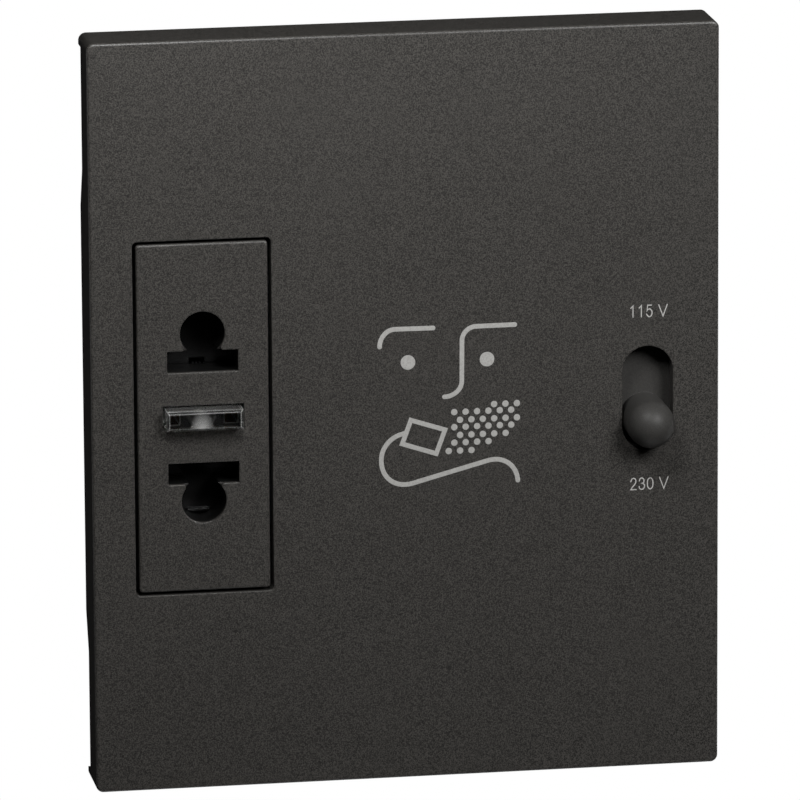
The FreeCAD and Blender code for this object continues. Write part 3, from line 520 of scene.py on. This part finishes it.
class SocketPrint(bpy.types.PropertyGroup):
    ink: FloatVectorProperty(
        name="Ink", description="Tone of the printed sign",
        size=4, subtype="COLOR", min=0, max=1, default=srgb("#999895"))
    line: FloatProperty(
        name="Line", description="Width of the sign's lines",
        unit="LENGTH", min=0.1 * MM, max=2 * MM, default=0.5 * MM)
    label_line: FloatProperty(
        name="Label Line", description="Width of the lines in the voltage marks",
        unit="LENGTH", min=0.05 * MM, max=0.5 * MM, default=0.11 * MM)
    label_ink: FloatVectorProperty(
        name="Label Ink", description="Tone of the voltage marks",
        size=4, subtype="COLOR", min=0, max=1, default=srgb("#acaba9"))
    layer: FloatProperty(
        name="Layer", description="How far the ink stands proud",
        unit="LENGTH", min=0.005 * MM, max=0.1 * MM, default=0.02 * MM)


class SocketKey(bpy.types.PropertyGroup):
    tint: FloatVectorProperty(
        name="Tint", description="Colour of the clear key",
        size=4, subtype="COLOR", min=0, max=1, default=srgb("#e6e6e4"))
    roughness: FloatProperty(
        name="Roughness", description="How dull the key's faces are",
        min=0, max=1, default=0.15)
    spring_wire: FloatProperty(
        name="Spring Wire", description="Thickness of the key spring's wire",
        unit="LENGTH", min=0.1 * MM, max=0.6 * MM, default=0.3 * MM)
    spring_gap: FloatProperty(
        name="Spring Gap", description="Play between the spring's end and the key",
        unit="LENGTH", min=0, max=0.5 * MM, default=0.05 * MM)
    spring_turns: IntProperty(
        name="Spring Turns", description="Turns in the key's spring",
        min=2, max=12, default=5)


class SocketStage(bpy.types.PropertyGroup):
    lamp: FloatProperty(
        name="Lamp", description="Power of the lamp at the upper right",
        unit="POWER", min=0, max=100, default=1.19)
    top_lamp: FloatProperty(
        name="Top Lamp", description="Power of the small lamp close above",
        unit="POWER", min=0, max=100, default=0.125)
    rear_lamp: FloatProperty(
        name="Rear Lamp", description="Power of the lamp behind",
        unit="POWER", min=0, max=100, default=1.3)
    side_lamp: FloatProperty(
        name="Side Lamp", description="Power of the lamp at the left",
        unit="POWER", min=0, max=100, default=0.2)
    fill: FloatProperty(
        name="Fill", description="Level of the light from all round",
        min=0, max=2, default=0.006)
    floor_drop: FloatProperty(
        name="Floor Drop", description="How far the floor is below the object",
        unit="LENGTH", min=0, max=1, default=0.6)
    floor_radius: FloatProperty(
        name="Floor Radius", description="Radius of the floor",
        unit="LENGTH", min=0.1, max=2, default=0.3)


# Pieces


class SOCKET_OT_mouldings(bpy.types.Operator):
    """Gives the cover, the socket face, the selector and the housings their moulded plastics"""
    bl_idname = "socket.mouldings"
    bl_label = "Mouldings"

    def execute(self, context):
        shell = context.scene.socket_shell
        # ABS and polycarbonate blend, in-mould coloured: dark warm grey, even and matt
        dress(grained_plastic(
            "moulded_abs_cover", shell.plastic, shell.fleck, shell.grain,
            depth=0.008 * MM, roughness=0.33, edge=0.2 * MM), "front_cover")
        # The socket face is of the same blend, with painted shade on the walls of its pin holes
        dress(grained_plastic(
            "moulded_abs_socket_face", shell.plastic, shell.fleck, shell.grain,
            depth=0.008 * MM, roughness=0.33, edge=0.25 * MM,
            painted_shade_from=COVER_FRONT + 0.35 * MM), "socket_face")
        # The knob is of the same blend from a finer tool, so its grain is shallow, and its
        # gloss is weaker and wider
        dress(grained_plastic(
            "moulded_abs_knob", shell.knob, srgb("#3b3a38"), grain=0.12 * MM,
            depth=0.004 * MM, roughness=0.5, specular=0.22), "selector_knob")
        # Polyamide with glass fibre: near black, with a dull coarser grain
        dress(grained_plastic(
            "moulded_polyamide_housing", shell.housing, HOUSING_FLECK, grain=0.3 * MM,
            depth=0.03 * MM, roughness=0.62, specular=0.35), "front_housing", "rear_housing")
        # Polyamide shutters from a polished tool: black, with edges that glint
        dress(smooth_plastic(
            "moulded_polyamide_shutter", srgb("#0b0b0b"), srgb("#141414"), roughness=0.25,
            edge=0.3 * MM), "upper_shutter", "lower_shutter")
        # Acetal slider: black and slippery
        dress(smooth_plastic(
            "moulded_acetal_slider", srgb("#101011"), srgb("#1a1a1b"), roughness=0.3,
            ior=1.48), "switch_slider")
        # Phenolic base of the switch: brown and dull
        dress(smooth_plastic(
            "pressed_phenolic_base", srgb("#4a2c16"), srgb("#5a3820"), roughness=0.5,
            ior=1.6), "switch_base")
        # Natural polyamide: creamy white
        dress(smooth_plastic(
            "natural_polyamide", srgb("#d8d2c0"), srgb("#e4dfd0"), roughness=0.45,
            ior=1.53), "bobbin", "lamp_spacer")
        # Epoxy-sealed case of the cut-out: black with a slight sheen
        dress(smooth_plastic(
            "moulded_epoxy_cutout", srgb("#141414"), srgb("#1e1e1e"), roughness=0.35,
            ior=1.55), "thermal_cutout")
        return {"FINISHED"}


class SOCKET_OT_clear_parts(bpy.types.Operator):
    """Gives the key between the pin holes and the pilot lamp their clear materials"""
    bl_idname = "socket.clear_parts"
    bl_label = "Clear Parts"

    def execute(self, context):
        key = context.scene.socket_key
        low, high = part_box("plug_key")
        left_of_middle = 0.35 * MM
        below_middle = 1.1 * MM
        patch = ((low.x + high.x) / 2 - left_of_middle, low.y, -below_middle)
        # Clear polycarbonate, moulded: dark where it shows the hollow behind it, with a painted
        # highlight along its edges and a milky spot near its middle as a painted highlight
        dress(clear_plastic(
            "moulded_clear_polycarbonate", key.tint, ior=1.585, roughness=key.roughness,
            edge=0.2 * MM, painted_highlight_at=patch), "plug_key")
        # Soda glass envelope of the lamp
        dress(clear_plastic("lamp_glass", srgb("#f2e2d2"), ior=1.52, roughness=0.02),
              "pilot_lamp")
        return {"FINISHED"}


class SOCKET_OT_metal_parts(bpy.types.Operator):
    """Gives the contacts, springs, terminals and screws their metals"""
    bl_idname = "socket.metal_parts"
    bl_label = "Metal Parts"

    def execute(self, context):
        # Phosphor bronze strip: pinkish yellow, with the roll's fine lines
        dress(rolled_metal(
            "rolled_phosphor_bronze", srgb("#b9824f"), srgb("#cf9a66"), line=0.08 * MM,
            roughness=0.3, along=1),
            "upper_contact", "lower_contact", "key_bridge", "switch_bridge")
        # Stamped brass: yellow, a little duller where it was sheared
        dress(rolled_metal(
            "stamped_brass", srgb("#b8954f"), srgb("#d6b56a"), line=0.1 * MM,
            roughness=0.32, along=1),
            "line_post", "feed_post", "contact_230", "contact_common", "contact_115",
            "line_terminal", "neutral_terminal")
        # Spring steel wire, drawn
        dress(rolled_metal(
            "drawn_spring_steel", *SPRING_STEEL, line=0.04 * MM, roughness=0.28, along=1),
            "upper_shutter_spring", "lower_shutter_spring")
        # Tinned steel sheet: pale and soft-edged
        dress(rolled_metal(
            "tinned_steel", srgb("#a9abab"), srgb("#c6c7c5"), line=0.12 * MM,
            roughness=0.34, along=2),
            "switch_can", "coil_pins")
        # Zinc-plated steel: bluish grey with a fine haze
        dress(rolled_metal(
            "zinc_plated_steel", srgb("#a2a7aa"), srgb("#bcc0c1"), line=0.15 * MM,
            roughness=0.38, along=1),
            "core_clamp", "terminal_screws", "housing_screws")
        return {"FINISHED"}


class SOCKET_OT_key_spring(bpy.types.Operator):
    """Winds the key's return spring, which shortens as the key goes in"""
    bl_idname = "socket.key_spring"
    bl_label = "Key Spring"

    def execute(self, context):
        low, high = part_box("key_spring")
        spring = context.scene.socket_key
        wire = spring.spring_wire / 2
        radius = (high.x - low.x) / 2 - wire
        x, z = (low.x + high.x) / 2, (low.z + high.z) / 2
        start = low.y + wire
        length = high.y - wire - start
        rise = length / (2 * math.pi * spring.spring_turns)
        steps_per_turn = 32
        count = steps_per_turn * spring.spring_turns
        wire_sides = 10
        mesh = bmesh.new()
        rings = []
        for i in range(count + 1):
            turn = 2 * math.pi * i / steps_per_turn
            out = Vector((math.cos(turn), 0, -math.sin(turn)))
            centre = Vector((x, start + length * i / count, z)) + out * radius
            along = Vector((-math.sin(turn) * radius, rise, -math.cos(turn) * radius))
            across_wire = along.normalized().cross(out)
            rings.append([
                mesh.verts.new(centre + (out * right + across_wire * up) * wire)
                for right, up in circle((0, 0), 1, wire_sides)
            ])
        for one, two in zip(rings, rings[1:]):
            for k in range(wire_sides):
                mesh.faces.new((one[k - 1], one[k], two[k], two[k - 1]))
        mesh.faces.new(rings[0])
        mesh.faces.new(reversed(rings[-1]))
        for face in mesh.faces:
            face.smooth = len(face.verts) == 4
        # Drawn spring steel wire: bright grey, with the die's fine lines
        steel = rolled_metal(
            "wound_spring_steel", *SPRING_STEEL, line=0.04 * MM, roughness=0.28, along=1)
        piece = finish_mesh("wound_key_spring", mesh, steel, "socket")
        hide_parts("key_spring")
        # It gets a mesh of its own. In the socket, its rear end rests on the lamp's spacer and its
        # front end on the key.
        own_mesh(piece)
        return {"FINISHED"}


class SOCKET_OT_transformer_parts(bpy.types.Operator):
    """Gives the core, the windings and the circuit board their layers and weave"""
    bl_idname = "socket.transformer_parts"
    bl_label = "Transformer Parts"

    def execute(self, context):
        # Silicon steel sheets 0.5 mm thick: blue-grey, with dark lines between them
        dress(layered(
            "stacked_silicon_steel", srgb("#3a3d42"), srgb("#74777c"), pitch=0.5 * MM,
            axis="Y", metallic=0.9, roughness=0.5, depth=0.05 * MM), "core_e", "core_i")
        # Enamelled copper wire 0.2 mm thick, drawn at 0.3 mm so that the turns show
        dress(layered(
            "enamelled_copper_wire", srgb("#6d2f10"), srgb("#c0713a"), pitch=0.3 * MM,
            axis="Z", metallic=0.8, roughness=0.35, depth=0.08 * MM), "primary_winding")
        # Polyester tape wound over the wire: amber, with a soft ridge at each edge of the tape
        dress(layered(
            "polyester_tape", srgb("#b98a1c"), srgb("#d8aa35"), pitch=2.4 * MM,
            axis="Z", metallic=0.0, roughness=0.3, depth=0.05 * MM), "secondary_winding")
        # Glass epoxy laminate: tan-green, with threads 0.45 mm apart
        dress(woven_laminate(
            "glass_epoxy_laminate", srgb("#5d6b35"), srgb("#77854a"), thread=0.45 * MM,
            roughness=0.4), "circuit_board")
        return {"FINISHED"}


# The shaver sign, in millimetres from the middle of the cover: the left brow, the nose with
# the right brow, and the line that runs from the shaver round the chin
SIGN_LINES = (
    curve((-2.87, 6.79), (-2.87, 8.64), (-1.2, 8.64)) + [(2.87, 8.61)],
    [(11.64, 8.61)] + curve((7.5, 8.59), (5.97, 8.59), (5.96, 7.1))
    + curve((5.92, 2.7), (5.9, 1.08), (4.05, 1.08)),
    curve((-0.06, -2.69), (-2.77, -2.9), (-2.77, -5.5))
    + curve((-2.77, -5.6), (-2.75, -9.05), (0.6, -8.17))
    + curve((8.73, -6.05), (11.7, -5.3), (11.92, -8.36)),
)
SHAVER_CORNERS = ((0.43, -1.3), (4.09, -2.5), (3.14, -5.06), (-0.51, -3.84))
EYES = ((0.15, 4.99), (8.64, 4.98))
EYE_RADIUS = 0.79 * MM
EYE_SIDES = 28
# The dots for the beard, in rows: the first dot of a row and how many dots it has
DOT_ROWS = (
    (9.38, 0.06, 3), (5.09, -0.63, 6), (5.71, -1.49, 6), (5.09, -2.26, 6),
    (5.71, -3.14, 5), (5.09, -3.95, 4), (4.48, -4.84, 3),
)
DOT_PITCH = 1.226
DOT_RADIUS = 0.35 * MM
DOT_SIDES = 18


def printed_ink(name, tone, light):
    """Pad-printed two-part ink: flat pale grey, with hardly any gloss."""
    return grained_plastic(name, tone, light, grain=0.15 * MM, depth=0.002 * MM,
                           roughness=0.6, specular=0.3, edge=0.02 * MM)


class SOCKET_OT_shaver_sign(bpy.types.Operator):
    """Prints the shaver sign on the cover"""
    bl_idname = "socket.shaver_sign"
    bl_label = "Shaver Sign"

    def execute(self, context):
        ink = context.scene.socket_print
        front = COVER_FRONT - ink.layer
        back = COVER_FRONT + ink.layer / 2
        mesh = bmesh.new()
        for points in SIGN_LINES:
            stroke(mesh, millimetres(*points), ink.line, front, back)
        # The shaver's outline lies a little proud of the line that it covers
        ring(mesh, millimetres(*SHAVER_CORNERS), ink.line, front - ink.layer / 4, back)
        for eye in millimetres(*EYES):
            disc(mesh, eye, EYE_RADIUS, front, back, EYE_SIDES)
        for x, z, count in DOT_ROWS:
            for dot in millimetres(*((x + i * DOT_PITCH, z) for i in range(count))):
                disc(mesh, dot, DOT_RADIUS, front, back, DOT_SIDES)
        # Pad-printed ink, pale grey
        paint = printed_ink("pad_printed_ink", ink.ink, srgb("#a8a7a4"))
        finish_mesh("shaver_sign", mesh, paint, "socket")
        return {"FINISHED"}


# The lines of each character, in a cell 1 wide and 1 high
GLYPHS = {
    "0": [through([(0.5, 1.0), (0.14, 0.84), (0.04, 0.5), (0.14, 0.16), (0.5, 0.0),
                   (0.86, 0.16), (0.96, 0.5), (0.86, 0.84), (0.52, 1.0)])],
    "1": [[(0.2, 0.78), (0.56, 0.98), (0.56, 0.0)]],
    "2": [through([(0.06, 0.7), (0.2, 0.92), (0.5, 1.0), (0.82, 0.9), (0.88, 0.68),
                   (0.7, 0.46), (0.3, 0.22), (0.05, 0.0)]) + [(0.93, 0.0)]],
    "3": [through([(0.08, 0.75), (0.22, 0.94), (0.5, 1.0), (0.82, 0.88), (0.8, 0.62),
                   (0.45, 0.53)])
          + through([(0.45, 0.53), (0.86, 0.44), (0.93, 0.24), (0.76, 0.05), (0.46, 0.0),
                     (0.16, 0.07), (0.04, 0.27)])[1:]],
    "5": [[(0.86, 1.0), (0.24, 1.0)]
          + through([(0.1, 0.5), (0.3, 0.64), (0.62, 0.65), (0.92, 0.46), (0.92, 0.2),
                     (0.7, 0.02), (0.38, 0.0), (0.05, 0.22)])],
    "V": [[(0.0, 1.0), (0.5, 0.0), (1.0, 1.0)]],
    "L": [[(0.1, 1.0), (0.1, 0.0), (0.85, 0.0)]],
    "N": [[(0.05, 0.0), (0.05, 1.0), (0.95, 0.0), (0.95, 1.0)]],
}
# The widths of a space and of the V, as shares of the distance between characters
SPACE_SHARE = 0.5
V_SHARE = 1.02


def write(mesh, text, left, base, height, cell, width, line, front, back):
    """Adds a row of characters."""
    x = left
    for character in text:
        if character == " ":
            x += cell * SPACE_SHARE
            continue
        wide = cell * V_SHARE if character == "V" else width
        for points in GLYPHS[character]:
            placed = [(x + px * wide, base + pz * height) for px, pz in points]
            stroke(mesh, placed, line, front, back)
        x += cell


class SOCKET_OT_voltage_marks(bpy.types.Operator):
    """Prints the two voltages above and below the selector"""
    bl_idname = "socket.voltage_marks"
    bl_label = "Voltage Marks"

    def execute(self, context):
        ink = context.scene.socket_print
        mesh = bmesh.new()
        for text, left, base in (("115 V", 24.0, 8.85), ("230 V", 24.1, -9.98)):
            write(mesh, text, left=left * MM, base=base * MM, height=1.24 * MM,
                  cell=0.9 * MM, width=0.66 * MM, line=ink.label_line,
                  front=COVER_FRONT - ink.layer, back=COVER_FRONT + ink.layer / 2)
        # The same ink as the sign in thinner lines, where it lies thicker and looks paler
        paint = printed_ink("pad_printed_fine_ink", ink.label_ink, srgb("#bab9b6"))
        finish_mesh("voltage_marks", mesh, paint, "socket")
        return {"FINISHED"}


class SOCKET_OT_wire_letters(bpy.types.Operator):
    """Raises a letter for each wire beside its terminal screw on the right wall"""
    bl_idname = "socket.wire_letters"
    bl_label = "Wire Letters"

    def execute(self, context):
        shell = context.scene.socket_shell
        mesh = bmesh.new()
        # They are drawn facing the front and turned to face the right
        for text, base in (("L", 3.6), ("N", -5.8)):
            write(mesh, text, left=31.6 * MM, base=base * MM, height=2.2 * MM,
                  cell=1.8 * MM, width=1.5 * MM, line=0.35 * MM,
                  front=-SIDE_WALL - 0.25 * MM, back=-SIDE_WALL + 0.1 * MM)
        quarter_turn = Matrix.Rotation(math.pi / 2, 3, "Z")
        bmesh.ops.rotate(mesh, verts=mesh.verts, cent=(0, 0, 0), matrix=quarter_turn)
        # Polyamide with glass fibre, since the letters are part of the housing
        plastic = grained_plastic(
            "moulded_polyamide_letters", shell.housing, HOUSING_FLECK, grain=0.3 * MM,
            depth=0.02 * MM, roughness=0.55, specular=0.35)
        finish_mesh("wire_letters", mesh, plastic, "socket")
        return {"FINISHED"}


# Stage


def aim(thing, place, way, roll=0):
    """Puts a lamp or camera in its place and points it."""
    thing.location = place
    thing.rotation_mode = "QUATERNION"
    thing.rotation_quaternion = way.to_track_quat("-Z", "Y") @ Quaternion((0, 0, 1), roll)


def lay_floor(stage):
    """Lays a round floor below the object."""
    z = CAD_BOUNDS[0].z - stage.floor_drop
    mesh = bmesh.new()
    mesh.faces.new([mesh.verts.new((x, y, z))
                    for x, y in circle((0, 0), stage.floor_radius, FLOOR_SIDES)])
    data = mesh_data("floor", mesh)
    floor = new_object("floor", data)
    # Matt white paper, which looks white and keeps the shadow
    fibre_width = 0.8 * MM
    material, tree, place = start_material("white_paper_floor")
    fibre = add(tree, "ShaderNodeTexNoise", values={"Scale": 1 / fibre_width},
                links={"Vector": place}).outputs["Fac"]
    glow = add(tree, "ShaderNodeMapRange", values={"To Min": 0.0, "To Max": 0.92},
               links={"Value": shown_rays(tree)}).outputs["Result"]
    paper = add(tree, "ShaderNodeMix", {"data_type": "RGBA"},
                {"A": srgb("#f4f4f4"), "B": WHITE}, {"Factor": fibre}).outputs["Result"]
    end_material(tree, add(
        tree, "ShaderNodeBsdfPrincipled",
        values={"Roughness": 0.9, "Specular IOR Level": 0.0, "Emission Color": WHITE},
        links={"Base Color": paper, "Emission Strength": glow},
    ))
    data.materials.append(material)


def hang_backdrop(scene, stage, ahead):
    """Makes all round look white to the eye.

    Gloss and clear parts show the white where the backdrop stands, behind the object,
    and everything is lit by the low fill.
    """
    world = bpy.data.worlds.new("studio")
    scene.world = world
    world.use_nodes = True
    tree = world.node_tree
    tree.nodes.clear()
    way = add(tree, "ShaderNodeTexCoord").outputs["Generated"]
    facing = add(tree, "ShaderNodeVectorMath", {"operation": "DOT_PRODUCT"}, {1: ahead},
                 {0: way}).outputs["Value"]
    backdrop = add(tree, "ShaderNodeMapRange",
                   values={"From Min": math.cos(BACKDROP_OUTER),
                           "From Max": math.cos(BACKDROP_INNER)},
                   links={"Value": facing}).outputs["Result"]
    strength = add(tree, "ShaderNodeMapRange", values={"To Min": stage.fill, "To Max": 1.0},
                   links={"Value": shown_rays(tree, backdrop)}).outputs["Result"]
    sky = add(tree, "ShaderNodeBackground", values={"Color": WHITE},
              links={"Strength": strength})
    add(tree, "ShaderNodeOutputWorld", links={"Surface": sky.outputs["Background"]})


def hang_lamps(stage):
    """Hangs four square lamps, all aimed at the middle of the object."""
    middle = (CAD_BOUNDS[0] + CAD_BOUNDS[1]) / 2
    lamps = (
        ("front_lamp", Vector((0.16, -0.265, 0.2)), 0.14, stage.lamp),
        ("top_lamp", Vector((-0.03, -0.09, 0.11)), 0.04, stage.top_lamp),
        ("rear_lamp", Vector((0.3, 0.33, -0.2)), 0.4, stage.rear_lamp),
        ("side_lamp", Vector((-0.45, 0.16, 0.02)), 0.3, stage.side_lamp),
    )
    for name, place, size, power in lamps:
        lamp = bpy.data.lights.new(name, "AREA")
        lamp.size = size
        lamp.energy = power
        aim(new_object(name, lamp), place, middle - place)


class SOCKET_OT_stage(bpy.types.Operator):
    """Makes the floor, the lamps, the light all round and the camera"""
    bl_idname = "socket.stage"
    bl_label = "Stage"

    def execute(self, context):
        scene = context.scene
        level = math.cos(CAMERA_DROP)
        ahead = Vector((math.sin(CAMERA_TURN) * level, math.cos(CAMERA_TURN) * level,
                        -math.sin(CAMERA_DROP)))
        lay_floor(scene.socket_stage)
        hang_backdrop(scene, scene.socket_stage, ahead)
        hang_lamps(scene.socket_stage)
        camera = bpy.data.cameras.new("camera")
        camera.sensor_width = SENSOR_WIDTH
        camera.lens = FOCAL_PIXELS / PICTURE_PIXELS * SENSOR_WIDTH
        camera.clip_start = 0.1
        camera.clip_end = 20
        scene.camera = new_object("camera", camera)
        aim(scene.camera, CAMERA_PLACE, ahead, CAMERA_ROLL)
        scene.view_settings.view_transform = "Standard"
        return {"FINISHED"}


class SOCKET_PT_panel(bpy.types.Panel):
    """Lists the socket's settings and pieces"""
    bl_idname = "SOCKET_PT_panel"
    bl_label = "Shaver Socket"
    bl_space_type = "VIEW_3D"
    bl_region_type = "UI"
    bl_category = "Shaver Socket"

    def draw(self, context):
        for name in GROUPS:
            group = getattr(context.scene, name)
            box = self.layout.box()
            for setting in group.__annotations__:
                box.prop(group, setting)
        for piece in PIECES:
            self.layout.operator(piece.bl_idname)


PIECES = (
    SOCKET_OT_stage, SOCKET_OT_mouldings, SOCKET_OT_clear_parts, SOCKET_OT_metal_parts,
    SOCKET_OT_key_spring, SOCKET_OT_transformer_parts, SOCKET_OT_shaver_sign,
    SOCKET_OT_voltage_marks, SOCKET_OT_wire_letters,
)
GROUPS = {"socket_shell": SocketShell, "socket_print": SocketPrint, "socket_key": SocketKey,
          "socket_stage": SocketStage}


def register():
    for group in GROUPS.values():
        bpy.utils.register_class(group)
    for piece in (*PIECES, SOCKET_PT_panel):
        bpy.utils.register_class(piece)
    for name, group in GROUPS.items():
        setattr(bpy.types.Scene, name, PointerProperty(type=group))


def unregister():
    for name in GROUPS:
        delattr(bpy.types.Scene, name)
    for piece in (SOCKET_PT_panel, *reversed(PIECES)):
        bpy.utils.unregister_class(piece)
    for group in GROUPS.values():
        bpy.utils.unregister_class(group)


def main():
    register()
    bpy.ops.socket.stage()
    bpy.ops.socket.mouldings()
    bpy.ops.socket.clear_parts()
    bpy.ops.socket.metal_parts()
    bpy.ops.socket.key_spring()
    bpy.ops.socket.transformer_parts()
    bpy.ops.socket.shaver_sign()
    bpy.ops.socket.voltage_marks()
    bpy.ops.socket.wire_letters()


if __name__ == "__main__":
    main()
